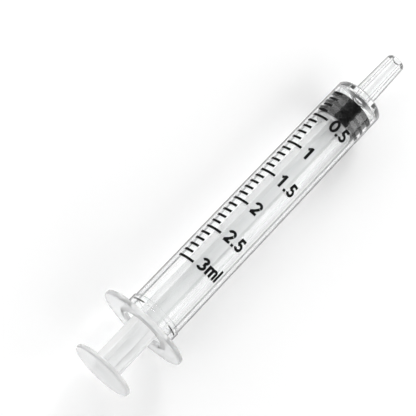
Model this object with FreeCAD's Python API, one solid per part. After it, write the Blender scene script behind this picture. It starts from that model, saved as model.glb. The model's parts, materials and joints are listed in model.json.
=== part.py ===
"""Three-part 3 ml slip-tip syringe, lying on its side as it comes to rest.

Pieces, each one moulding:
  barrel   clear tube with an oval finger flange, a collar, a retaining ring and two nubs
           at its mouth, a coned front wall and a plain 6 % tapered tip with a lumen
  plunger  clear cross-ribbed rod with a round thumb disc, a support disc and a snap head
  stopper  black rubber piston with three sealing ribs, a blunt nose and an undercut socket

Everything is drawn along the barrel's own axis: x = 0 on the flange's rear face and +x
towards the tip. The last step lays the syringe down, so that it touches the floor with the
flange's lower edge and the barrel's front shoulder. Row frame: +X towards the tip, +Y along
the long way of the flange, +Z up, origin under the middle of the bounding box.
Millimetres and degrees.
"""
import FreeCAD, Part
import math
import os

V = FreeCAD.Vector

# Barrel tube
bore_diameter = 9.0
barrel_rear_od = 10.8        # drafted to the front, so that it leaves its mould
barrel_front_od = 10.45
barrel_length = 64.3         # flange's rear face to the front shoulder
shoulder_radius = 0.8
collar_step = 0.22           # above the tube, all round
collar_end = 4.1
collar_chamfer = 0.15
front_wall = 1.3             # at the bore's edge
front_cone_depth = 0.55      # the chamber's floor slopes towards the lumen
bore_corner_chamfer = 0.3

# Finger flange
flange_length = 19.3
flange_width = 14.8          # of the oval
flange_flat_depth = 0.05     # cut off each long edge, so that the syringe doesn't roll
flange_thickness = 1.1
flange_rim_chamfer = 0.25
flange_root_chamfer = 0.25

# Retention at the mouth
mouth_lead_in = 0.3
ring_height = 0.14
ring_land = 0.4
ring_ramp = 0.35
nub_radius = 0.5
nub_reach = 0.4              # into the bore
nub_depth = 0.12             # of the nub's centre, behind the mouth

# Slip tip
tip_length = 11.2
tip_end_diameter = 3.93
tip_taper = 0.06             # on the diameter
tip_end_round = 0.35
tip_root_chamfer = 0.3
lumen_root_diameter = 1.95
lumen_end_diameter = 1.7

# Stopper, ribs and grooves from its front to its rear
rib_widths = (1.3, 0.95, 1.05)
groove_widths = (1.0, 0.75)
groove_depth = 0.5
rib_chamfer = 0.14
stopper_clearance = 0.02     # radial, to the bore
nose_height = 1.2
nose_base_diameter = 7.8
nose_top_diameter = 2.0
nose_round = 0.4
nose_gap = 0.1               # left to the chamber's floor at zero
shown_volume = 0.06          # ml, as the plunger stands

# Plunger
rib_span = 6.7               # across two opposite ribs
rib_thickness_tip = 0.95
rib_thickness_root = 1.1     # where two neighbours' flanks would meet, inside the core
rod_core_diameter = 3.8
rib_tip_round = 0.12
rib_roll = 52.5              # of the cross about the axis
thumb_diameter = 13.2
thumb_thickness = 0.95
thumb_rim_chamfer = 0.25
thumb_stand_off = 10.25      # flange's rear face to the disc's front face
support_diameter = 8.0
support_thickness = 0.8
support_rim_chamfer = 0.2
neck_diameter = 3.2
neck_length = 1.1
head_diameter = 4.8
head_land = 0.5
head_cone = 1.1
head_top_diameter = 2.4
head_clearance = 0.04        # all round in the stopper's socket

# Travel
stop_clearance = 0.1         # stopper's rear rib to the retaining ring, drawn right out

# Places along the axis that follow from the sizes above
bore_radius = bore_diameter / 2
rear_radius = barrel_rear_od / 2
front_radius = barrel_front_od / 2
collar_radius = rear_radius + collar_step
flange_rest = flange_width / 2 - flange_flat_depth    # from the axis to a long edge's flat
bore_end = barrel_length - front_wall
lumen_start = bore_end + front_cone_depth
tip_end = barrel_length + tip_length
tip_root_diameter = tip_end_diameter + tip_taper * tip_length
ring_middle = collar_end - ring_land / 2 - ring_ramp
ring_front = ring_middle + ring_land / 2 + ring_ramp
ml_length = 1000.0 / (math.pi * bore_radius ** 2)
zero_x = lumen_start - nose_gap - nose_height
stopper_front = zero_x - shown_volume * ml_length
stopper_length = sum(rib_widths) + sum(groove_widths)
stopper_rear = stopper_front - stopper_length
support_front = stopper_rear - head_clearance
support_rear = support_front - support_thickness
thumb_front = -thumb_stand_off
thumb_rear = thumb_front - thumb_thickness
travel_in = shown_volume * ml_length
travel_out = stopper_rear - ring_front - stop_clearance


def turned(profile):
    """Solid of revolution about the x axis from (x, radius) points that end on the axis."""
    points = [V(x, 0, radius) for x, radius in profile]
    face = Part.Face(Part.makePolygon(points + [points[0]]))
    return face.revolve(V(0, 0, 0), V(1, 0, 0), 360)


def rings(shape, places):
    """The round edges of a shape that are centred on the axis at the (x, radius) places."""
    found = []
    for edge in shape.Edges:
        curve = edge.Curve
        if not isinstance(curve, Part.Circle):
            continue
        for x, radius in places:
            if abs(curve.Center.x - x) < 1e-4 and abs(curve.Radius - radius) < 1e-4:
                found.append(edge)
    return found


def oval_plate(x, half_long, half_short, thickness):
    """Elliptical plate in the y-z plane, its long way along y, from x to x + thickness."""
    centre = V(x, 0, 0)
    along_y = centre + V(0, half_long, 0)
    along_z = centre + V(0, 0, half_short)
    if half_long >= half_short:
        curve = Part.Ellipse(along_y, along_z, centre)
    else:
        curve = Part.Ellipse(along_z, along_y, centre)
    face = Part.Face(Part.Wire(curve.toShape()))
    return face.extrude(V(thickness, 0, 0))


def finger_flange():
    """Oval flange with a short flat on each long edge and both of its rims chamfered."""
    plate = oval_plate(0, flange_length / 2, flange_width / 2, flange_thickness)
    corner = V(0, -flange_length, -flange_rest)
    plate = plate.common(Part.makeBox(flange_thickness, 2 * flange_length, 2 * flange_rest, corner))
    rims = [edge for edge in plate.Edges if edge.BoundBox.XLength < 1e-6]
    return plate.makeChamfer(flange_rim_chamfer, rims)


def barrel_skin():
    """Outside of the tube, its collar and the tapered tip, filled."""
    root_radius = tip_root_diameter / 2
    end_radius = tip_end_diameter / 2
    skin = turned([
        (0, 0),
        (0, collar_radius),
        (collar_end - collar_chamfer, collar_radius),
        (collar_end, collar_radius - collar_chamfer),
        (collar_end, rear_radius),
        (barrel_length, front_radius),
        (barrel_length, root_radius + tip_root_chamfer),
        (barrel_length + tip_root_chamfer, root_radius),
        (tip_end, end_radius),
        (tip_end, 0),
    ])
    skin = skin.makeFillet(shoulder_radius, rings(skin, [(barrel_length, front_radius)]))
    return skin.makeFillet(tip_end_round, rings(skin, [(tip_end, end_radius)]))


def barrel_core():
    """The space inside the barrel: mouth, retaining ring, bore, coned floor and lumen."""
    past = 1.0
    mouth_radius = bore_radius + mouth_lead_in
    ring_radius = bore_radius - ring_height
    lumen_root = lumen_root_diameter / 2
    lumen_end = lumen_end_diameter / 2
    floor_slope = front_cone_depth / (bore_radius - lumen_root)
    return turned([
        (-past, 0),
        (-past, mouth_radius),
        (0, mouth_radius),
        (mouth_lead_in, bore_radius),
        (ring_middle - ring_land / 2 - ring_ramp, bore_radius),
        (ring_middle - ring_land / 2, ring_radius),
        (ring_middle + ring_land / 2, ring_radius),
        (ring_front, bore_radius),
        (bore_end - bore_corner_chamfer, bore_radius),
        (bore_end + floor_slope * bore_corner_chamfer, bore_radius - bore_corner_chamfer),
        (lumen_start, lumen_root),
        (tip_end, lumen_end),
        (tip_end + past, lumen_end),
        (tip_end + past, 0),
    ])


def make_barrel():
    """Tube, flange and tip, hollowed, with the two nubs that keep the plunger in."""
    body = barrel_skin().fuse(finger_flange())
    root = rings(body, [(flange_thickness, collar_radius)])
    body = body.makeChamfer(flange_root_chamfer, root).cut(barrel_core())
    nub_offset = bore_radius - nub_reach + nub_radius
    for side in (-1, 1):
        nub = Part.makeSphere(nub_radius, V(nub_depth, side * nub_offset, 0))
        body = body.fuse(nub)
    return body.removeSplitter()


def rod_section(x):
    """Cross of four drafted ribs as a closed wire in the y-z plane at x."""
    reach = rib_span / 2
    tip = rib_thickness_tip / 2
    root = rib_thickness_root / 2
    points = []
    for quarter in range(4):
        turn = math.radians(90 * quarter)
        for y, z in ((reach, -tip), (reach, tip), (root, root)):
            turned_y = y * math.cos(turn) - z * math.sin(turn)
            turned_z = y * math.sin(turn) + z * math.cos(turn)
            points.append(V(x, turned_y, turned_z))
    return Part.makePolygon(points + [points[0]])


def cross_rod():
    """Round core with four ribs, from the thumb disc to the support disc, rounded at the ribs' rims."""
    length = support_rear - thumb_front
    ribs = Part.Face(rod_section(thumb_front)).extrude(V(length, 0, 0))
    rim_distance = math.hypot(rib_span / 2, rib_thickness_tip / 2)
    rims = []
    for edge in ribs.Edges:
        start, end = [vertex.Point for vertex in edge.Vertexes]
        along = abs(start.y - end.y) < 1e-6 and abs(start.z - end.z) < 1e-6
        if along and abs(math.hypot(start.y, start.z) - rim_distance) < 1e-4:
            rims.append(edge)
    ribs = ribs.makeFillet(rib_tip_round, rims)
    core = Part.makeCylinder(rod_core_diameter / 2, length, V(thumb_front, 0, 0), V(1, 0, 0))
    rod = ribs.fuse(core)
    rod.rotate(V(0, 0, 0), V(1, 0, 0), rib_roll)
    return rod


def rimmed_disc(x, diameter, thickness, chamfer):
    """Round disc on the axis from x to x + thickness, with both rims chamfered."""
    radius = diameter / 2
    return turned([
        (x, 0),
        (x, radius - chamfer),
        (x + chamfer, radius),
        (x + thickness - chamfer, radius),
        (x + thickness, radius - chamfer),
        (x + thickness, 0),
    ])


def head_profile(grow):
    """Neck and snap head as (x, radius) points, grown all round by a clearance."""
    back = support_front + neck_length
    front = back + head_land + head_cone
    return [
        (support_front - grow, 0),
        (support_front - grow, neck_diameter / 2 + grow),
        (back - grow, neck_diameter / 2 + grow),
        (back - grow, head_diameter / 2 + grow),
        (back + head_land, head_diameter / 2 + grow),
        (front + grow, head_top_diameter / 2 + grow),
        (front + grow, 0),
    ]


def make_plunger():
    """Thumb disc, cross rod, support disc, neck and snap head in one moulding."""
    thumb = rimmed_disc(thumb_rear, thumb_diameter, thumb_thickness, thumb_rim_chamfer)
    support = rimmed_disc(support_rear, support_diameter, support_thickness, support_rim_chamfer)
    plunger = thumb.fuse([cross_rod(), support, turned(head_profile(0))])
    return plunger.removeSplitter()


def stopper_profile():
    """Outside of the rubber piston as (x, radius) points, from its nose to its rear."""
    rib_radius = bore_radius - stopper_clearance
    groove_radius = rib_radius - groove_depth
    points = [
        (stopper_front + nose_height, 0),
        (stopper_front + nose_height, nose_top_diameter / 2),
        (stopper_front, nose_base_diameter / 2),
    ]
    x = stopper_front
    for number, width in enumerate(rib_widths):
        points.append((x, rib_radius - rib_chamfer))
        points.append((x - rib_chamfer, rib_radius))
        points.append((x - width + rib_chamfer, rib_radius))
        x -= width
        points.append((x, rib_radius - rib_chamfer))
        if number < len(groove_widths):
            points.append((x, groove_radius))
            x -= groove_widths[number]
            points.append((x, groove_radius))
    points.append((x, 0))
    return points


def make_stopper():
    """Rubber piston: sealing ribs, grooves, blunt nose, and the socket for the head."""
    body = turned(stopper_profile())
    body = body.makeFillet(nose_round, rings(body, [(stopper_front + nose_height, nose_top_diameter / 2)]))
    return body.cut(turned(head_profile(head_clearance)))


def resting_tilt():
    """Nose-down angle of the line that touches the flange's rim and the front shoulder."""
    draft = (rear_radius - front_radius) / (barrel_length - collar_end)
    shoulder_centre = front_radius + draft * shoulder_radius - shoulder_radius
    run = barrel_length - shoulder_radius - (flange_thickness - flange_rim_chamfer)
    drop = flange_rest - shoulder_centre
    slope = math.atan2(drop, run)
    lean = math.asin(-shoulder_radius / math.hypot(run, drop))
    return math.degrees(slope + lean)


def lay_down(shapes):
    """Tip the pieces nose-down to rest and put the origin under the middle of their box."""
    tilt = resting_tilt()
    for shape in shapes:
        shape.rotate(V(0, 0, 0), V(0, 1, 0), tilt)
    box = Part.makeCompound(shapes).optimalBoundingBox(False)
    shift = V(-(box.XMin + box.XMax) / 2, -(box.YMin + box.YMax) / 2, -box.ZMin)
    for shape in shapes:
        shape.translate(shift)
    return tilt, shift


def main():
    """Build the three pieces, lay them down and write one STEP file each."""
    pieces = {"barrel": make_barrel(), "plunger": make_plunger(), "stopper": make_stopper()}
    tilt, shift = lay_down(list(pieces.values()))
    os.makedirs("parts", exist_ok=True)
    for name, shape in pieces.items():
        solid = shape.Solids[0]
        solid.exportStep("parts/" + name + ".step")
        print(name, "solids", len(shape.Solids), "valid", solid.isValid(),
              "volume", round(solid.Volume, 2), "faces", len(solid.Faces))
    print("tilt", round(tilt, 4), "shift", [round(value, 4) for value in shift])
    print("zero", round(zero_x, 3), "stopper front", round(stopper_front, 3),
          "travel in", round(travel_in, 3), "out", round(travel_out, 3))
    return tilt, shift


main()
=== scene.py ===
# %% [markdown]
# # A 3 ml slip-tip syringe
# The syringe has three mouldings. The barrel is clear polypropylene, the plunger is the same plastic
# with a little more haze in it, and the stopper is black rubber. A scale is printed on the barrel.
# This lesson loads the measured frame of the part, makes each moulding again as a fine surface,
# so that light bends through it smoothly, prints the scale, and then lights and frames the scene.

# %% Load the frame
import json
import math

import bpy
import numpy as np
from mathutils import Matrix, Vector


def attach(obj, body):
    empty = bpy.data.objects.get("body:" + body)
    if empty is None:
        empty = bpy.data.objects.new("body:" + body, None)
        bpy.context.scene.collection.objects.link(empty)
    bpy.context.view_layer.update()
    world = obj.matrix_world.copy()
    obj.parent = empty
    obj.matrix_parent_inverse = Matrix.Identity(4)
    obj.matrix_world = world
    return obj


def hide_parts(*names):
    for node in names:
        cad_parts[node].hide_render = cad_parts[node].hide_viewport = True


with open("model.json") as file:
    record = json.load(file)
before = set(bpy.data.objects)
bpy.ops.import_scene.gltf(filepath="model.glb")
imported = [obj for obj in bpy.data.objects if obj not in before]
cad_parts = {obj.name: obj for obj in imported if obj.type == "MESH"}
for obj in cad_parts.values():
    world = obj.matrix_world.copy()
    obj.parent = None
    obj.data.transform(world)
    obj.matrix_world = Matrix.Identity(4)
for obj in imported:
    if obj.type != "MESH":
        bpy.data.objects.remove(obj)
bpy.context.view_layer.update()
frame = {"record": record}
MM = 0.001

# %% [markdown]
# ## Where things are
# The syringe lies on its side, so its axis dips a little towards the tip. Everything on a syringe is
# placed along that axis. The record names two mounts on it, the thumb face and the slip tip, and the
# line through them is the axis. From here on a place is three numbers in millimetres: how far along
# the axis from the flange's rear face, how far sideways, and how far up.

# %% The axis of the syringe
tip_end = 75.5          # from the flange's rear face to the end of the slip tip
mounts = {mount["name"]: mount for mount in frame["record"]["mounts"]}
tip_point = np.array(mounts["slip_tip"]["pos_m"])
thumb_point = np.array(mounts["thumb_face"]["pos_m"])
forward = (tip_point - thumb_point) / np.linalg.norm(tip_point - thumb_point)
sideways = np.array([0.0, 1.0, 0.0])
upward = np.cross(forward, sideways)
flange_point = tip_point - tip_end * MM * forward
thumb_rear = tip_end - np.linalg.norm(tip_point - thumb_point) / MM
print("the axis dips by %.2f degrees" % math.degrees(math.asin(-forward[2])))
print("the thumb face is %.2f mm behind the flange" % -thumb_rear)


def to_frame(along, side, up):
    """Row-frame metres: the flange point + along * forward + side * sideways + up * upward."""
    along, side, up = np.broadcast_arrays(along, side, up)
    local = np.stack([along, side, up], axis=-1) * MM
    return flange_point + local @ np.array([forward, sideways, upward])

# %% [markdown]
# ## One lathe for all three mouldings
# A lathe turns a round thing: a profile is carried round an axis. The finger flange is oval and the
# plunger's rod is a cross, so this lathe can also swell. Each profile point has a distance along the
# axis, a radius and a share, and the surface there lies at the radius plus the share times a shape
# that depends on the angle. With a share of 0 it is a plain lathe. Round the axis the grid closes on
# itself. Along the profile it either closes too, as a hollow tube does, or ends in two poles.

# %% Rounded profiles
arc_step = 2.2          # degrees between the points of a rounded corner
shortest_filled = 0.3   # a straight stretch longer than this gets points of its own
edge_step = 0.06        # from a corner to the first of them


def unit(vectors):
    """Each vector divided by its own length."""
    return vectors / np.linalg.norm(vectors, axis=-1, keepdims=True)


def corner_arc(before, here, after, rounding, chord):
    """Arc of radius R = `rounding` that replaces a corner, as points.

    It is cut back by R / tan(half the opening) on both sides, its middle lies R / sin(half the opening)
    along the bisector, and its points are sin((1 - t) a) * start + sin(t a) * end, over sin(a)."""
    back = unit(before - here)
    ahead = unit(after - here)
    opening = math.acos(np.clip(back @ ahead, -1, 1))
    reach = rounding / math.tan(opening / 2)
    middle = here + unit(back + ahead) * rounding / math.sin(opening / 2)
    turn = math.pi - opening
    pieces = min(math.degrees(turn) / arc_step, turn * rounding / chord)
    t = np.linspace(0, 1, max(4, math.ceil(pieces)) + 1)[:, None]
    start = here + back * reach - middle
    end = here + ahead * reach - middle
    return middle + (np.sin((1 - t) * turn) * start + np.sin(t * turn) * end) / math.sin(turn)


def rounded_profile(corners, closed, spacing=1.5, chord=0.05):
    """Profile rows (x, radius, share) from corners (x, radius, share, rounding).

    Straight stretches get points at most `spacing` apart, and one close to each end, so that smooth
    shading keeps a flat stretch flat."""
    corners = np.array(corners, dtype=float)
    count = len(corners)
    arcs = []
    for index in range(count):
        here, rounding = corners[index, :3], corners[index, 3]
        if rounding > 0 and (closed or 0 < index < count - 1):
            after = corners[(index + 1) % count, :3]
            arcs.append(corner_arc(corners[index - 1, :3], here, after, rounding, chord))
        else:
            arcs.append(here[None])
    rows = []
    for index in range(count):
        rows.append(arcs[index])
        if index == count - 1 and not closed:
            break
        start, end = arcs[index][-1], arcs[(index + 1) % count][0]
        length = np.linalg.norm(end - start)
        if length > shortest_filled:
            inside = np.linspace(edge_step, length - edge_step, math.ceil(length / spacing) + 1)
            rows.append(start + (end - start) * (inside / length)[:, None])
    return np.concatenate(rows)

# %% Grids that close
def ring_quads(rows, columns, closed):
    """Corner numbers of a grid's quads; its columns close, and its rows too if `closed`."""
    row = np.arange(rows if closed else rows - 1)[:, None]
    column = np.arange(columns)
    beside = (column + 1) % columns
    below = row * columns
    above = (row + 1) % rows * columns
    corners = [below + column, below + beside, above + beside, above + column]
    return np.stack(corners, axis=-1).reshape(-1, 4)


def pole_fans(rows, columns):
    """Triangles from the first row to a pole point and from the last row to another one."""
    column = np.arange(columns)
    beside = (column + 1) % columns
    first_pole = np.full(columns, rows * columns)
    last = (rows - 1) * columns
    start = np.stack([beside, column, first_pole], axis=-1)
    end = np.stack([last + column, last + beside, first_pole + 1], axis=-1)
    return np.concatenate([start, end])


def signed_volume(points, triangles):
    """A sixth of the sum of the triple products of the triangles' corners."""
    a, b, c = (points[triangles[:, corner]] for corner in range(3))
    return np.einsum("ij,ij->i", a, np.cross(b, c)).sum() / 6


def make_piece(name, points, quads, triangles=None, sharp=35.0):
    """Mesh object from row-frame points, with its faces pointing outwards."""
    centred = points - points.mean(axis=0)
    halves = [quads[:, [0, 1, 2]], quads[:, [0, 2, 3]]]
    if triangles is not None:
        halves.append(triangles)
    volume = signed_volume(centred, np.concatenate(halves))
    faces = [quads] if triangles is None else [quads, triangles]
    if volume < 0:
        faces = [group[:, ::-1] for group in faces]
    mesh = bpy.data.meshes.new(name)
    mesh.from_pydata(points.tolist(), [], [face for group in faces for face in group.tolist()])
    mesh.shade_smooth()
    mesh.set_sharp_from_angle(angle=math.radians(sharp))
    piece = bpy.data.objects.new(name, mesh)
    bpy.context.collection.objects.link(piece)
    print("%s: %d faces, %.1f mm3" % (name, len(mesh.polygons), abs(volume) / MM ** 3))
    return piece

# %% The lathe itself
def lathe_points(profile, angles, shape=0.0):
    """Barrel millimetres (rows, columns, 3): at angle v the radius is r + share * shape(v)."""
    radius = profile[:, 1, None] + profile[:, 2, None] * (shape + 0 * angles)
    along = profile[:, 0, None] + 0 * radius
    return np.stack([along, radius * -np.sin(angles), radius * np.cos(angles)], axis=-1)


def lathe(name, points, closed):
    """Piece from lathe points. An open profile starts and ends on the axis, in two poles."""
    rows, columns = points.shape[:2]
    placed = to_frame(points[..., 0], points[..., 1], points[..., 2])
    if closed:
        return make_piece(name, placed.reshape(-1, 3), ring_quads(rows, columns, True))
    poles = placed[[0, -1], 0]
    rings = placed[1:-1]
    flat = np.concatenate([rings.reshape(-1, 3), poles])
    return make_piece(name, flat, ring_quads(rows - 2, columns, False), pole_fans(rows - 2, columns))


def even_angles(columns):
    """Evenly spaced angles, counted from straight up towards the side with the numerals."""
    return np.arange(columns) * 2 * math.pi / columns

# %% [markdown]
# ## The barrel
# The barrel is one injection moulding: a clear tube, an oval flange for two fingers, a thicker collar
# in front of it, and a plain tip with a 6 % taper. Inside the mouth are a low ring that stops the
# stopper and two small nubs that keep the plunger in. It could be cut from solids with booleans, but
# clear plastic shows every facet that a boolean leaves. Here one closed profile runs from the mouth
# over the flange and the outside to the tip, and back through the lumen and the bore.

# %% Sizes of the barrel
bore_radius = 4.5
barrel_length = 64.3
barrel_rear_radius = 5.4        # drafted to the front, so that the moulding leaves its mould
barrel_front_radius = 5.225
shoulder_round = 0.8
collar_radius = barrel_rear_radius + 0.22
collar_end = 4.1
front_wall = 1.3
front_cone_depth = 0.55
bore_end = barrel_length - front_wall
lumen_start = bore_end + front_cone_depth
lumen_root_radius = 0.975
lumen_end_radius = 0.85
tip_end_radius = 1.965
tip_root_radius = tip_end_radius + 0.03 * (tip_end - barrel_length)
flange_half_long = 9.65
flange_half_short = 7.4
flange_rest = 7.35              # a flat on each long edge keeps the syringe from rolling
flange_thickness = 1.1
flange_blend = 0.45             # how far inside the oval the flange's faces stop following it
mouth_lead_in = 0.3
mouth_step = 0.07               # between the fine rows round the mouth, where the nubs are lifted
nub_zone_start = 0.4            # the fine rows run from here to the two limits below
nub_zone_depth = 0.95
nub_zone_breadth = 0.75
ring_height = 0.14
ring_land = 0.4
ring_ramp = 0.35
ring_front = collar_end
ring_rear = ring_front - ring_land - 2 * ring_ramp


def tube_radius(along):
    """Straight draft between the collar and the shoulder: rear radius + (front - rear) * share."""
    share = (along - collar_end) / (barrel_length - collar_end)
    return barrel_rear_radius + (barrel_front_radius - barrel_rear_radius) * share


print("the tube is %.3f mm across in its middle" % (2 * tube_radius(barrel_length / 2)))

# %% Profile of the barrel
barrel_columns = 320
around = even_angles(barrel_columns)
oval = flange_half_long * flange_half_short / np.hypot(
    flange_half_long * np.cos(around), flange_half_short * np.sin(around))
oval = np.minimum(oval, flange_rest / np.maximum(np.abs(np.cos(around)), 0.1))
mouth_rows = [(x, bore_radius, 0, 0) for x in np.arange(nub_zone_depth, nub_zone_start, -mouth_step)]
mouth_rows += [(mouth_lead_in * (1 - t), bore_radius + mouth_lead_in * t, 0, 0.05 if t in (0, 1) else 0)
               for t in np.linspace(0, 1, 5)]
mouth_rows += [(0, radius, 0, 0) for radius in
               np.arange(bore_radius + nub_zone_start, bore_radius + nub_zone_breadth, mouth_step)]
barrel_corners = mouth_rows + [
    (0, -flange_blend, 1, 0),
    (0, 0, 1, 0.3),
    (flange_thickness, 0, 1, 0.3),
    (flange_thickness, -flange_blend, 1, 0),
    (flange_thickness, collar_radius + 0.35, 0, 0),
    (flange_thickness, collar_radius, 0, 0.25),
    (collar_end, collar_radius, 0, 0.2),
    (collar_end, barrel_rear_radius, 0, 0.06),
    (barrel_length, barrel_front_radius, 0, shoulder_round),
    (barrel_length, tip_root_radius, 0, 0.4),
    (tip_end, tip_end_radius, 0, 0.35),
    (tip_end, lumen_end_radius, 0, 0.1),
    (lumen_start, lumen_root_radius, 0, 0.15),
    (bore_end, bore_radius, 0, 0.4),
    (ring_front, bore_radius, 0, 0.15),
    (ring_front - ring_ramp, bore_radius - ring_height, 0, 0.15),
    (ring_rear + ring_ramp, bore_radius - ring_height, 0, 0.15),
    (ring_rear, bore_radius, 0, 0.15),
]
barrel_points = lathe_points(rounded_profile(barrel_corners, closed=True), around, oval)

# %% [markdown]
# The two nubs are small domes on the edge of the mouth. A dome could be a ball merged by a boolean.
# On a grid it is simpler to lift the points: each point near a nub is pushed out of the plastic, in
# the direction halfway between out of the mouth and into the bore, until it meets the nub's ball.

# %% Nubs at the mouth
nub_radius = 0.5
nub_reach = 0.4
nub_depth = 0.12


def lift_to_ball(points, centre, lift, radius):
    """Moves points along `lift` to the ball: by c + sqrt(radius^2 - m^2), where that is positive.

    c is how far ahead the ball's centre lies, and m how far the point's line misses it."""
    toward = centre - points
    ahead = toward @ lift
    miss = (toward ** 2).sum(axis=-1) - ahead ** 2
    near = (miss < radius ** 2) & ((toward ** 2).sum(axis=-1) < (2 * radius) ** 2)
    height = np.where(near, ahead + np.sqrt(np.maximum(radius ** 2 - miss, 0)), 0)
    return points + np.maximum(height, 0)[..., None] * lift


for side in (-1, 1):
    nub_centre = np.array([nub_depth, side * (bore_radius - nub_reach + nub_radius), 0])
    lift = unit(np.array([-1.0, -side, 0.0]))
    barrel_points = lift_to_ball(barrel_points, nub_centre, lift, nub_radius)
barrel = lathe("barrel_moulding", barrel_points, closed=True)

# %% [markdown]
# ## The plunger
# The plunger is one moulding as well: a round thumb disc, a rod whose section is a cross of four ribs,
# a support disc, and a snap head inside the stopper. The ribs stand on a round core. The cross is a
# closed outline, so its distance from the axis at each angle is the lathe's shape, and the discs use
# the same angles.

# %% Sizes of the plunger
thumb_radius = 6.6
thumb_thickness = 0.95
thumb_front = thumb_rear + thumb_thickness
rib_reach = 3.35
rib_half_tip = 0.475
rib_half_root = 0.52
rib_tip_round = 0.12
rib_root_round = 0.15
core_radius = 1.9
rib_roll = math.radians(-37.5)
root_fillet = 0.25              # where the ribs meet the thumb disc
root_fillet_waist = 0.08
ml_length = 1000 / (math.pi * bore_radius ** 2)
nose_height = 1.2
zero_gap = 0.1                  # between the nose and the front cone when the syringe is empty
zero_x = lumen_start - zero_gap - nose_height
shown_volume = 0.06
stopper_front = zero_x - shown_volume * ml_length
rib_widths = (1.3, 0.95, 1.05)
groove_widths = (1.0, 0.75)
groove_depth = 0.5
stopper_rear = stopper_front - sum(rib_widths) - sum(groove_widths)
head_clearance = 0.04
support_front = stopper_rear - head_clearance
support_thickness = 0.8
support_rear = support_front - support_thickness
support_radius = 4.0
neck_radius = 1.6
head_radius = 2.4
head_top_radius = 1.2
neck_length = 1.1
head_back = support_front + neck_length
head_land = 0.5
head_cone_length = 1.1
head_front = head_back + head_land + head_cone_length
print("0.1 ml is %.3f mm, the stopper's front edge is at %.2f mm" % (ml_length / 10, stopper_front))

# %% The cross of the rod
def turned_corner(y, z, rounding, quarter):
    """Profile corner (y, z, 0, rounding), turned by so many quarter turns."""
    turn = math.pi / 2 * quarter + rib_roll
    return (y * math.cos(turn) - z * math.sin(turn), y * math.sin(turn) + z * math.cos(turn), 0, rounding)


root_reach = math.sqrt(core_radius ** 2 - rib_half_root ** 2)
core_start = math.asin(rib_half_root / core_radius)
core_end = math.acos(rib_half_root / core_radius)
core_angles = np.linspace(core_start, core_end, 15)[2:-2]     # the ends give way to the root rounds
rib_corners = [(rib_reach, -rib_half_tip, rib_tip_round), (rib_reach, rib_half_tip, rib_tip_round),
               (root_reach, rib_half_root, rib_root_round)]
rib_corners += [(core_radius * math.cos(angle), core_radius * math.sin(angle), 0)
                for angle in core_angles]
rib_corners += [(rib_half_root, root_reach, rib_root_round)]
cross_corners = [turned_corner(y, z, rounding, quarter)
                 for quarter in range(4) for y, z, rounding in rib_corners]
cross_outline = rounded_profile(cross_corners, closed=True, spacing=0.12)
cross_angles = np.arctan2(cross_outline[:, 1], cross_outline[:, 0])
order = np.argsort(cross_angles)
cross_angles = cross_angles[order]
cross_radius = np.hypot(cross_outline[order, 0], cross_outline[order, 1])
print("cross outline", len(order), "points")

# %% Profile of the plunger
plunger_corners = [
    (thumb_rear, 0, 0, 0),
    (thumb_rear, 1, 0, 0),
    (thumb_rear, thumb_radius, 0, 0.35),
    (thumb_front, thumb_radius, 0, 0.35),
    (thumb_front, rib_reach + 0.7, 0, 0),
    (thumb_front, root_fillet, 1, 0),
    (thumb_front + root_fillet_waist, root_fillet_waist, 1, 0),
    (thumb_front + root_fillet, 0, 1, 0),
    (support_rear, 0, 1, 0),
    (support_rear, support_radius - 0.35, 0, 0),
    (support_rear, support_radius, 0, 0.2),
    (support_front, support_radius, 0, 0.2),
    (support_front, neck_radius, 0, 0.1),
    (head_back, neck_radius, 0, 0.1),
    (head_back, head_radius, 0, 0.15),
    (head_back + head_land, head_radius, 0, 0.15),
    (head_front, head_top_radius, 0, 0.15),
    (head_front, 0, 0, 0),
]
plunger_profile = rounded_profile(plunger_corners, closed=False, spacing=2.0)
plunger_points = lathe_points(plunger_profile, cross_angles, cross_radius)
plunger = lathe("plunger_moulding", plunger_points, closed=False)

# %% [markdown]
# ## The stopper
# The stopper is moulded rubber, so its edges are soft. Three ribs seal against the bore and two grooves
# lie between them. The blunt nose fits the barrel's sloped floor, and the socket at the rear holds the
# plunger's head. The ribs touch the wall of the bore, and where they do, the rubber shows darker
# through the plastic. The profile runs from the nose over the ribs and back into the socket.

# %% Profile of the stopper
rib_radius = bore_radius + 0.004    # rubber touches the wall, and the contact shows
rib_round = 0.14
nose_radius = 1.0
nose_base_radius = 3.9
stopper_corners = [
    (stopper_front + nose_height, 0, 0, 0),
    (stopper_front + nose_height, nose_radius, 0, 0.4),
    (stopper_front, nose_base_radius, 0, 0.1),
]
edge = stopper_front
for number, width in enumerate(rib_widths):
    stopper_corners.append((edge, rib_radius, 0, rib_round))
    edge -= width
    stopper_corners.append((edge, rib_radius, 0, rib_round))
    if number < len(groove_widths):
        stopper_corners.append((edge, rib_radius - groove_depth, 0, rib_round))
        edge -= groove_widths[number]
        stopper_corners.append((edge, rib_radius - groove_depth, 0, rib_round))
stopper_corners += [
    (edge, neck_radius + head_clearance, 0, 0.1),
    (head_back - head_clearance, neck_radius + head_clearance, 0, 0.1),
    (head_back - head_clearance, head_radius + head_clearance, 0, 0.15),
    (head_back + head_land, head_radius + head_clearance, 0, 0.15),
    (head_front + head_clearance, head_top_radius + head_clearance, 0, 0.15),
    (head_front + head_clearance, 0, 0, 0),
]
stopper_columns = 256
stopper_profile = rounded_profile(stopper_corners, closed=False, spacing=0.4)
stopper = lathe("stopper_moulding", lathe_points(stopper_profile, even_angles(stopper_columns)), closed=False)

# %% [markdown]
# ## The printed scale
# The marks are pad-printed ink, a few hundredths of a millimetre thick, on the outside of the barrel.
# A texture could carry them, but real ink has an edge and lies on a curved wall, so each line is a
# thin solid ribbon wrapped on the tube. It reaches a little into the plastic, as wet ink does, so that
# from inside the wall it looks as black as from outside.

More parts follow.
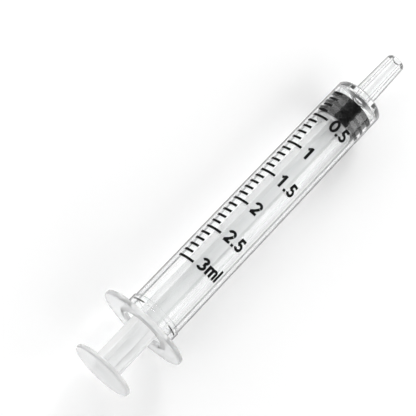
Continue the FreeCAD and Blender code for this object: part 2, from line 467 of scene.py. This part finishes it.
# %% Ribbons on the barrel
ink_inside = 0.01
ink_outside = 0.018
print_radius = tube_radius(barrel_length / 2)


def wrap(along, arc, height):
    """Millimetre points at `arc` mm round the tube from straight up, `height` above its surface."""
    angle = arc / print_radius
    radius = tube_radius(along) + height
    return np.stack([along + 0 * angle, radius * -np.sin(angle), radius * np.cos(angle)], axis=-1)


def ribbon(path, width):
    """Corners (rows, 4) and quads of a ribbon along a flat path (along, arc).

    Its two edges lie half a width to each side of the path, along the normal of the path's direction,
    and it closes underneath and at both ends."""
    direction = unit(np.gradient(path, axis=0))
    normal = np.stack([-direction[:, 1], direction[:, 0]], axis=-1) * width / 2
    left, right = path + normal, path - normal
    rings = np.stack([wrap(side[:, 0], side[:, 1], height) for side, height in
                      ((left, -ink_inside), (right, -ink_inside), (right, ink_outside), (left, ink_outside))],
                     axis=1)
    last = (len(path) - 1) * 4
    caps = np.array([[3, 2, 1, 0], [last, last + 1, last + 2, last + 3]])
    return rings.reshape(-1, 3), np.concatenate([ring_quads(len(path), 4, False), caps])


def print_piece(name, ribbons):
    """One piece from several ribbons."""
    offsets = np.cumsum([0] + [len(points) for points, _ in ribbons[:-1]])
    points = np.concatenate([points for points, _ in ribbons])
    quads = np.concatenate([quads + offset for (_, quads), offset in zip(ribbons, offsets)])
    return make_piece(name, to_frame(points[:, 0], points[:, 1], points[:, 2]), quads)


def mark_place(tenths):
    """Distance along the axis of the mark for so many tenths of a millilitre."""
    return zero_x - tenths / 10 * ml_length

# %% The thirty lines
line_width = 0.54
line_start = math.radians(-62.6)
short_end = math.radians(-36.7)
long_end = math.radians(-20.6)
print_skew = 0.2                # millimetres that the print leans round the tube towards its front
line_points = 24
lines = []
for tenths in range(1, 31):
    end = long_end if tenths % 5 == 0 else short_end
    skew = print_skew * (30 - tenths) / 29
    round_tube = np.linspace(line_start, end, line_points) * print_radius - skew
    path = np.stack([np.full(line_points, mark_place(tenths)), round_tube], axis=-1)
    lines.append(ribbon(path, line_width))
scale_lines = print_piece("scale_lines", lines)

# %% [markdown]
# The numbers are drawn the way a sign painter would do it, as strokes of one width. Each character is
# a few straight lines and arcs in a box one unit high. It is laid on the tube with its top towards
# the tip, so that the numbers read across the barrel.

# %% Strokes of the characters
def line(*points):
    """Straight strokes through the points, with closely spaced points between them."""
    points = np.array(points, dtype=float)
    t = np.linspace(0, 1, 6)[:, None]
    return [a + (b - a) * t for a, b in zip(points[:-1], points[1:])]


def arc(x, y, across, high, start, end):
    """Part of an ellipse about (x, y): across * cos(angle), high * sin(angle)."""
    angle = np.radians(np.linspace(start, end, 25))
    return [np.stack([x + across * np.cos(angle), y + high * np.sin(angle)], axis=-1)]


stroke_width = 0.205    # in heights of a character
half = stroke_width / 2
characters = {
    "0": (0.62, arc(0.31, 0.5, 0.24, 0.5 - half, 0, 360)),
    "1": (0.62, line((0.32, 0), (0.32, 1)) + line((0.32, 0.93), (0.18, 0.79), (0.05, 0.72))),
    "2": (0.62, arc(0.31, 0.71, 0.23, 0.29 - half, 175, -25) + line((0.52, 0.6), (0.36, 0.36), (0.07, half))
          + line((0.04, half), (0.57, half))),
    "3": (0.62, arc(0.29, 0.735, 0.21, 0.265 - half, 165, -90)
          + arc(0.29, 0.29, 0.24, 0.29 - half, 90, -165)),
    "5": (0.62, line((0.16, 1 - half), (0.54, 1 - half)) + line((0.17, 1), (0.11, 0.5))
          + arc(0.295, 0.325, 0.235, 0.325 - half, 140, -160)),
    ".": (0.3, line((0.15, 0), (0.15, stroke_width))),
    "m": (0.9, line((0.12, 0), (0.12, 0.73)) + arc(0.29, 0.49, 0.17, 0.24 - half, 180, 0)
          + line((0.46, 0.5), (0.46, 0)) + arc(0.63, 0.49, 0.17, 0.24 - half, 180, 0)
          + line((0.8, 0.5), (0.8, 0))),
    "l": (0.26, line((0.13, 0), (0.13, 1))),
}
print("characters", " ".join(characters))

# %% The numbers
number_height = 2.85
number_breadth = 2.93
number_narrow = 0.93            # breadth of a character in its own space
number_start = math.radians(-11.8)
number_slope = 0.14             # of the row at 3 ml, which runs a little forwards as it goes round
number_lead = 0.85              # millimetres that this row stands ahead of its line


def number_ribbons(text, tenths):
    """Ribbons of a number centred on its line; its characters follow each other round the tube.

    A point (x, y) of a character lies y heights ahead of the base and x breadths round the tube, where
    x is drawn in towards the character's middle by number_narrow. It also lies slope * (its distance
    round the tube from the first character) further ahead."""
    pen = number_start * print_radius
    base = mark_place(tenths) - number_height / 2 + number_lead * (tenths / 30) ** 2
    slope = number_slope * (tenths / 30) ** 3
    ribbons = []
    for character in text:
        advance, strokes = characters[character]
        for stroke in strokes:
            middle = advance / 2
            round_tube = pen + (middle + (stroke[:, 0] - middle) * number_narrow) * number_breadth
            past_start = round_tube - number_start * print_radius
            ahead = base + stroke[:, 1] * number_height + slope * past_start
            path = np.stack([ahead, round_tube], axis=-1)
            ribbons.append(ribbon(path, stroke_width * number_height))
        pen += advance * number_breadth
    return ribbons


numbers = [("3ml", 30), ("2.5", 25), ("2", 20), ("1.5", 15), ("1", 10), ("0.5", 5)]
scale_numbers = print_piece("scale_numbers", [strip for text, tenths in numbers
                                              for strip in number_ribbons(text, tenths)])

# %% [markdown]
# ## What rides on what
# The three surfaces stand for the three solids of the frame, and the print goes with the barrel.

# %% Bodies
for piece, node in ((barrel, "barrel"), (plunger, "plunger"), (stopper, "stopper")):
    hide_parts(node)
    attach(piece, node)
    print(piece.name, "stands for", node)
for piece in (scale_lines, scale_numbers):
    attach(piece, "barrel")
    print(piece.name, "rides on barrel")

# %% [markdown]
# ## Materials
# Injection-moulded polypropylene is clear but never perfect: its surface waves a little where it
# cooled, and it scatters some light. So its roughness and a faint bump follow a noise that is
# stretched along the axis. The tube is clear, and the flange and the plunger are thicker and hazier.
# Where a wall is seen edge-on, its colour is darkened and it lets less light through: this is painted
# shade, and it draws the thin dark lines along a syringe's sides. Lamps would not reach what is
# behind glass, and the shadow would be as dark as a solid's, so for rays from lamps the surface is a
# plain see-through one.

# %% Nodes
def new_material(name):
    """Empty node material, its nodes and a function that links an output to an input."""
    material = bpy.data.materials.new(name)
    material.use_nodes = True
    tree = material.node_tree
    tree.nodes.clear()
    return material, tree.nodes, tree.links.new


def stretched_noise(nodes, link, scale, stretch, detail=3.0):
    """Noise on Object coordinates, `scale` per metre, drawn out along the axis by `stretch`."""
    coordinates = nodes.new("ShaderNodeTexCoord")
    mapping = nodes.new("ShaderNodeMapping")
    mapping.inputs["Rotation"].default_value = (0, math.asin(forward[2]), 0)
    mapping.inputs["Scale"].default_value = (1 / stretch, 1, 1)
    noise = nodes.new("ShaderNodeTexNoise")
    noise.inputs["Scale"].default_value = scale
    noise.inputs["Detail"].default_value = detail
    link(coordinates.outputs["Object"], mapping.inputs["Vector"])
    link(mapping.outputs["Vector"], noise.inputs["Vector"])
    return noise.outputs["Fac"]


def spread(nodes, link, value, low, high):
    """Maps 0.3 to 0.7 of a noise onto low to high."""
    remap = nodes.new("ShaderNodeMapRange")
    remap.inputs["From Min"].default_value = 0.3
    remap.inputs["From Max"].default_value = 0.7
    remap.inputs["To Min"].default_value = low
    remap.inputs["To Max"].default_value = high
    link(value, remap.inputs["Value"])
    return remap.outputs["Result"]


def bumped(nodes, link, value, distance):
    """Normal that is tilted by a height of value * distance metres."""
    bump = nodes.new("ShaderNodeBump")
    bump.inputs["Strength"].default_value = 1.0
    bump.inputs["Distance"].default_value = distance
    link(value, bump.inputs["Height"])
    return bump.outputs["Normal"]

# %% See-through to lamps
def see_through_to_lamps(nodes, link, surface, face_light, edge_light):
    """Puts a see-through surface in front of lamp rays: face_light straight on, edge_light edge-on."""
    facing = nodes.new("ShaderNodeLayerWeight")
    facing.inputs["Blend"].default_value = 0.3
    shade = nodes.new("ShaderNodeMix")
    shade.data_type = "RGBA"
    shade.inputs["A"].default_value = (face_light, face_light, face_light, 1)
    shade.inputs["B"].default_value = (edge_light, edge_light, edge_light, 1)
    link(facing.outputs["Facing"], shade.inputs["Factor"])
    see_through = nodes.new("ShaderNodeBsdfTransparent")
    link(shade.outputs["Result"], see_through.inputs["Color"])
    rays = nodes.new("ShaderNodeLightPath")
    choice = nodes.new("ShaderNodeMixShader")
    link(rays.outputs["Is Shadow Ray"], choice.inputs["Fac"])
    link(surface, choice.inputs[1])
    link(see_through.outputs["BSDF"], choice.inputs[2])
    output = nodes.new("ShaderNodeOutputMaterial")
    link(choice.outputs["Shader"], output.inputs["Surface"])

# %% Moulded plastic
scatter_length = 0.002          # metres that light travels inside the plastic before it leaves


def moulded_plastic(name, tint, clear, shine, painted_edge_shade, edge_from, edge_to, rough, wave,
                    face_light, edge_light):
    """Moulded polypropylene: `clear` is the share of light that goes through, and the rest scatters.

    Where the surface is seen edge-on, `clear` falls to 0 and the tint is multiplied by the painted edge
    shade, over facing values edge_from to edge_to (0 is straight on): painted shade that draws dark lines.
    `shine` is the specular level, `rough` the range of roughness, and `wave` the bump's height in metres."""
    material, nodes, link = new_material(name)
    plastic = nodes.new("ShaderNodeBsdfPrincipled")
    plastic.inputs["IOR"].default_value = 1.49
    plastic.inputs["Specular IOR Level"].default_value = shine
    plastic.inputs["Subsurface Weight"].default_value = 1.0
    plastic.inputs["Subsurface Radius"].default_value = (1, 1, 1)
    plastic.inputs["Subsurface Scale"].default_value = scatter_length
    view = nodes.new("ShaderNodeLayerWeight")
    view.inputs["Blend"].default_value = 0.5
    through = nodes.new("ShaderNodeMapRange")
    through.interpolation_type = "SMOOTHSTEP"
    through.inputs["From Min"].default_value = edge_from
    through.inputs["From Max"].default_value = edge_to
    through.inputs["To Min"].default_value = clear
    through.inputs["To Max"].default_value = 0.0
    link(view.outputs["Facing"], through.inputs["Value"])
    link(through.outputs["Result"], plastic.inputs["Transmission Weight"])
    # painted shade: where the surface is seen edge-on, the base colour falls to the tint times the edge shade
    # factor
    shade = nodes.new("ShaderNodeMix")
    shade.data_type = "RGBA"
    shade.inputs["A"].default_value = (*(painted_edge_shade * value for value in tint), 1)
    shade.inputs["B"].default_value = (*tint, 1)
    share = nodes.new("ShaderNodeMapRange")
    share.inputs["From Max"].default_value = clear
    link(through.outputs["Result"], share.inputs["Value"])
    link(share.outputs["Result"], shade.inputs["Factor"])
    link(shade.outputs["Result"], plastic.inputs["Base Color"])
    noise = stretched_noise(nodes, link, 900.0, 12.0)
    link(spread(nodes, link, noise, *rough), plastic.inputs["Roughness"])
    link(bumped(nodes, link, noise, wave), plastic.inputs["Normal"])
    see_through_to_lamps(nodes, link, plastic.outputs["BSDF"], face_light, edge_light)
    return material

# %% The plastics and what wears them
def dress(piece, parts):
    """Gives a piece its materials, from parts (material, end along the axis) in order from the rear."""
    centres = np.empty(len(piece.data.polygons) * 3)
    piece.data.polygons.foreach_get("center", centres)
    along = (centres.reshape(-1, 3) - flange_point) @ forward / MM
    for material, _ in parts:
        piece.data.materials.append(material)
    ends = np.array([end for _, end in parts[:-1]])
    piece.data.polygons.foreach_set("material_index", np.searchsorted(ends, along).astype(np.int32))


# the fifth number of each plastic is its painted edge shade: the share of its tint left where it is seen
# edge-on
clear_plastic = moulded_plastic("clear_plastic", (0.95, 0.955, 0.955), 1.0, 0.1, 0.2, 0.6, 0.74,
                                (0.0, 0.01), 0.00000003, 0.97, 0.8)
flange_plastic = moulded_plastic("flange_plastic", (0.84, 0.845, 0.845), 0.68, 0.5, 0.8, 0.82, 0.94,
                                 (0.03, 0.07), 0.0000001, 0.6, 0.4)
disc_plastic = moulded_plastic("disc_plastic", (0.84, 0.845, 0.845), 0.66, 0.5, 0.8, 0.82, 0.94,
                               (0.03, 0.07), 0.0000001, 0.6, 0.4)
rod_plastic = moulded_plastic("rod_plastic", (0.86, 0.865, 0.865), 0.45, 0.5, 0.4, 0.8, 0.93,
                              (0.08, 0.15), 0.0000002, 0.7, 0.5)
tip_plastic = moulded_plastic("tip_plastic", (0.93, 0.937, 0.937), 1.0, 0.15, 0.2, 0.5, 0.68,
                              (0.0, 0.02), 0.00000003, 0.9, 0.7)
overlap = 0.05          # a face this near a border counts as the disc's or the tip's
dress(barrel, [(flange_plastic, flange_thickness), (clear_plastic, barrel_length - overlap),
               (tip_plastic, None)])
dress(plunger, [(disc_plastic, thumb_front + overlap), (rod_plastic, None)])
for piece in (barrel, plunger):
    print(piece.name, "wears", ", ".join(material.name for material in piece.data.materials))

# %% [markdown]
# Rubber and ink are both nearly black, and what tells them apart is the gloss. The rubber is satin and
# mirrors the lamps in soft bands. The ink is matt, so the scale stays black from every side. One
# function makes both, with a fine grain, coarser on the rubber.

# %% Rubber and ink
def dark_finish(name, colour, shine, rough, grain, depth):
    """Black rubber or ink: a dark base with a fine grain in its roughness and its surface."""
    material, nodes, link = new_material(name)
    surface = nodes.new("ShaderNodeBsdfPrincipled")
    surface.inputs["IOR"].default_value = 1.52
    surface.inputs["Specular IOR Level"].default_value = shine
    noise = stretched_noise(nodes, link, grain, 1.0, 5.0)
    blend = nodes.new("ShaderNodeMix")
    blend.data_type = "RGBA"
    blend.inputs["A"].default_value = (*(0.6 * value for value in colour), 1)
    blend.inputs["B"].default_value = (*(1.4 * value for value in colour), 1)
    link(noise, blend.inputs["Factor"])
    link(blend.outputs["Result"], surface.inputs["Base Color"])
    link(spread(nodes, link, noise, *rough), surface.inputs["Roughness"])
    link(bumped(nodes, link, noise, depth), surface.inputs["Normal"])
    output = nodes.new("ShaderNodeOutputMaterial")
    link(surface.outputs["BSDF"], output.inputs["Surface"])
    return material


rubber = dark_finish("black_rubber", (0.002, 0.002, 0.002), 0.35, (0.18, 0.3), 2500.0, 0.000001)
ink = dark_finish("black_ink", (0.003, 0.003, 0.003), 0.08, (0.5, 0.65), 6000.0, 0.000001)
stopper.data.materials.append(rubber)
scale_lines.data.materials.append(ink)
scale_numbers.data.materials.append(ink)
print("the stopper wears", rubber.name, "and the print wears", ink.name)

# %% [markdown]
# ## Floor, lamps and surroundings
# Clear plastic shows little but what surrounds it. The table is white and the ceiling is dim, so the
# black rubber stays black from above. A long strip at each side gives it two lines of light. A small
# lamp in front casts the soft shadows, and a weaker one behind lights the thumb disc.

# %% Floor
floor_half = 1.5
paper_white = 0.9
paper_glow = 0.1        # added only where the floor is seen: directly, mirrored or through plastic
floor_mesh = bpy.data.meshes.new("floor")
floor_mesh.from_pydata([(-floor_half, -floor_half, 0), (floor_half, -floor_half, 0),
                        (floor_half, floor_half, 0), (-floor_half, floor_half, 0)], [], [(0, 1, 2, 3)])
floor = bpy.data.objects.new("floor", floor_mesh)
bpy.context.collection.objects.link(floor)
paper, nodes, link = new_material("white_floor")
matt = nodes.new("ShaderNodeBsdfDiffuse")
matt.inputs["Color"].default_value = (paper_white, paper_white, paper_white, 1)
glow = nodes.new("ShaderNodeEmission")
rays = nodes.new("ShaderNodeLightPath")
seen = nodes.new("ShaderNodeMath")
seen.operation = "MAXIMUM"
link(rays.outputs["Is Camera Ray"], seen.inputs[0])
link(rays.outputs["Is Glossy Ray"], seen.inputs[1])
seen_through = nodes.new("ShaderNodeMath")
seen_through.operation = "MAXIMUM"
link(seen.outputs["Value"], seen_through.inputs[0])
link(rays.outputs["Is Transmission Ray"], seen_through.inputs[1])
strength = nodes.new("ShaderNodeMath")
strength.operation = "MULTIPLY"
strength.inputs[1].default_value = paper_glow
link(seen_through.outputs["Value"], strength.inputs[0])
link(strength.outputs["Value"], glow.inputs["Strength"])
both = nodes.new("ShaderNodeAddShader")
link(matt.outputs["BSDF"], both.inputs[0])
link(glow.outputs["Emission"], both.inputs[1])
output = nodes.new("ShaderNodeOutputMaterial")
link(both.outputs["Shader"], output.inputs["Surface"])
floor_mesh.materials.append(paper)
print("the floor is %.0f m across" % (2 * floor_half))

# %% Lamps
def soft_lamp(name, direction, distance, size, radiance):
    """Rectangular lamp of (across, high) metres, `distance` along `direction`, facing the syringe.

    A Lambert lamp of radiance L and area A has the power pi * L * A."""
    data = bpy.data.lights.new(name, "AREA")
    data.shape = "RECTANGLE"
    data.size, data.size_y = size
    data.energy = math.pi * radiance * size[0] * size[1]
    lamp = bpy.data.objects.new(name, data)
    lamp.location = Vector(direction).normalized() * distance
    lamp.rotation_euler = (-lamp.location).to_track_quat("-Z", "Y").to_euler()
    bpy.context.collection.objects.link(lamp)
    print("%s: %.1f W" % (name, data.energy))
    return lamp


def side_strip(name, from_top, to_top, side, distance, length, radiance):
    """Strip beside the syringe that fills the angles from_top to to_top, measured from straight up.

    Its middle lies at the angles' middle, and its height is 2 * distance * tan(half their difference)."""
    middle = math.radians((from_top + to_top) / 2)
    half_angle = math.radians((to_top - from_top) / 2)
    size = (length, 2 * distance * math.tan(half_angle))
    return soft_lamp(name, (0, side * math.sin(middle), math.cos(middle)), distance, size, radiance)


side_strip("strip_left", 37, 88, 1, 0.9, 1.6, 1.4)
side_strip("strip_right", 37, 82, -1, 0.9, 1.6, 2.3)
soft_lamp("lamp_front", (0.74, 0.38, 0.62), 0.9, (0.35, 0.35), 10.5)
soft_lamp("lamp_back", (-0.75, 0.1, 0.65), 0.9, (0.5, 0.5), 1.8)

# %% Surroundings
horizon_grey = 0.6
ceiling_grey = 0.06
ceiling_from = 0.45     # the height of a direction, from 0 at the horizon to 1 overhead
world = bpy.data.worlds.new("studio")
bpy.context.scene.world = world
world.use_nodes = True
nodes = world.node_tree.nodes
link = world.node_tree.links.new
nodes.clear()
direction = nodes.new("ShaderNodeTexCoord")
height = nodes.new("ShaderNodeSeparateXYZ")
link(direction.outputs["Generated"], height.inputs["Vector"])
ramp = nodes.new("ShaderNodeValToRGB")
ramp.color_ramp.elements[0].position = 0.0
ramp.color_ramp.elements[0].color = (horizon_grey, horizon_grey, horizon_grey, 1)
ramp.color_ramp.elements[1].position = ceiling_from
ramp.color_ramp.elements[1].color = (ceiling_grey, ceiling_grey, ceiling_grey, 1)
link(height.outputs["Z"], ramp.inputs["Fac"])
studio = nodes.new("ShaderNodeBackground")
studio.inputs["Strength"].default_value = 1.0
link(ramp.outputs["Color"], studio.inputs["Color"])
output = nodes.new("ShaderNodeOutputWorld")
link(studio.outputs["Background"], output.inputs["Surface"])
print("surroundings fade from %.2f at the horizon to %.2f overhead" % (horizon_grey, ceiling_grey))

# %% [markdown]
# ## The camera
# The camera looks down on the syringe from about 40 cm with a long lens. It is set the way a
# photographer would describe it: where the flange sits in front of the lens, how far the barrel is
# turned in the picture, how far it leans away from the lens, and how far it is rolled.

# %% Camera
image_width = 416
focal_pixels = 2000.0
flange_in_view = np.array([-12.4848, 22.8139, 375.5024])    # right, down, away, in millimetres
turn, lean, roll = 0.8048, 0.3035, 0.0237
along_view = np.array([math.cos(lean) * math.cos(turn), -math.cos(lean) * math.sin(turn), math.sin(lean)])
across_view = np.array([math.sin(turn), math.cos(turn), 0])
side_view = -(math.cos(roll) * across_view + math.sin(roll) * np.cross(along_view, across_view))
up_view = np.cross(along_view, side_view)
to_barrel = np.array([along_view, side_view, up_view])
camera_point = to_frame(*(-to_barrel @ flange_in_view))
right, down, away = (to_barrel.T @ np.array([forward, sideways, upward]))
lens = bpy.data.cameras.new("camera")
lens.sensor_width = 36.0
lens.lens = focal_pixels * lens.sensor_width / image_width
lens.clip_start = 0.01
placement = np.eye(4)
placement[:3] = np.array([right, -down, -away, camera_point]).T
camera = bpy.data.objects.new("camera", lens)
camera.matrix_world = Matrix(placement.tolist())
bpy.context.collection.objects.link(camera)
bpy.context.scene.camera = camera
print("camera %.0f mm away, looking down by %.1f degrees"
      % (np.linalg.norm(flange_in_view), math.degrees(math.asin(-away[2]))))

# %% [markdown]
# ## Finish
# The Standard view shows each colour about as it is written.

# %% Finish
bpy.context.scene.view_settings.view_transform = "Standard"
